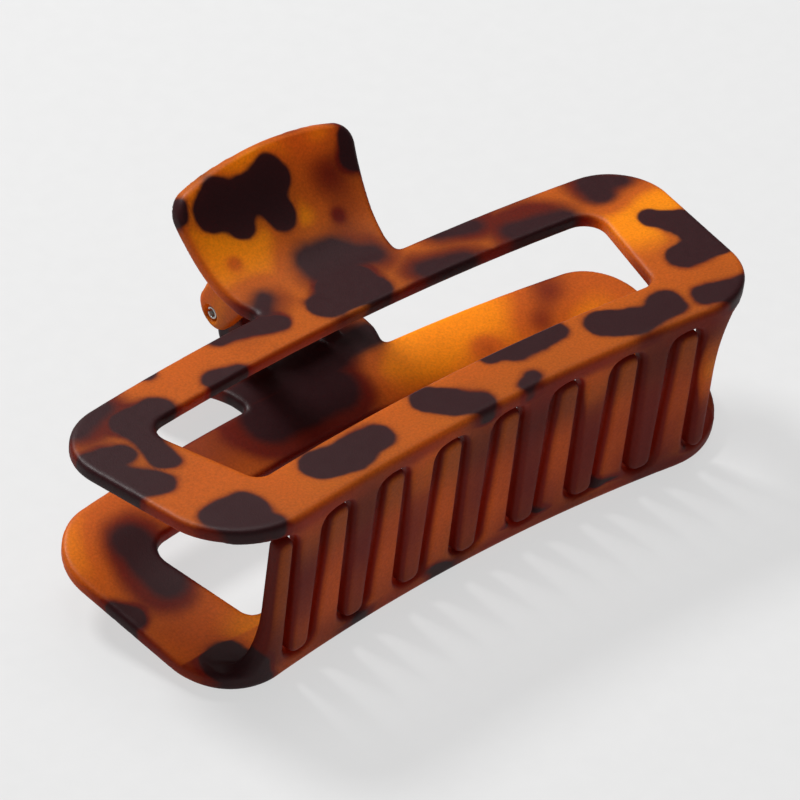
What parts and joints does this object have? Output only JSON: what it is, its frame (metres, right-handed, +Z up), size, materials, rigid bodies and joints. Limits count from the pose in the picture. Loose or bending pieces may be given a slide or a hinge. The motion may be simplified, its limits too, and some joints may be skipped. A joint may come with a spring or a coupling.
{
  "type": "claw hair clip",
  "caption": "Rectangular open-frame claw hair clip: a pair of tortoiseshell moulded jaws with interleaved comb teeth and thumb handles on a sprung steel hinge pin.",
  "frame": {"origin": "centre of the underside of the whole box, on the surface the closed clip lies on", "axes": "+X along the clip's length, +Y towards the hinge and handles, -Y towards the comb teeth, +Z up; the clip lies on one side, leaning on a handle tip and the front edge of the lower jaw"},
  "size_m": [0.107, 0.0638, 0.0429],
  "materials": {
    "tortoise_plastic": "frosted translucent amber with dark brown tortoiseshell blotches",
    "pin_steel": "plain rolled tube",
    "spring_steel": "drawn spring wire"
  },
  "bodies": {
    "lower_jaw": {"lower_jaw": "tortoise_plastic", "hinge_pin": "pin_steel", "torsion_spring": "spring_steel"},
    "upper_jaw": {"upper_jaw": "tortoise_plastic"}
  },
  "joints": [
    {"name": "jaw_hinge", "type": "hinge", "parent": "lower_jaw", "child": "upper_jaw", "pos_m": [0, 0.02181, 0.02073], "axis": [-1, 0, 0], "range_deg": [0, 70], "stiffness_Nm_per_rad": 0.12, "springref_deg": -57.3, "deforming": ["torsion_spring"]}
  ]
}
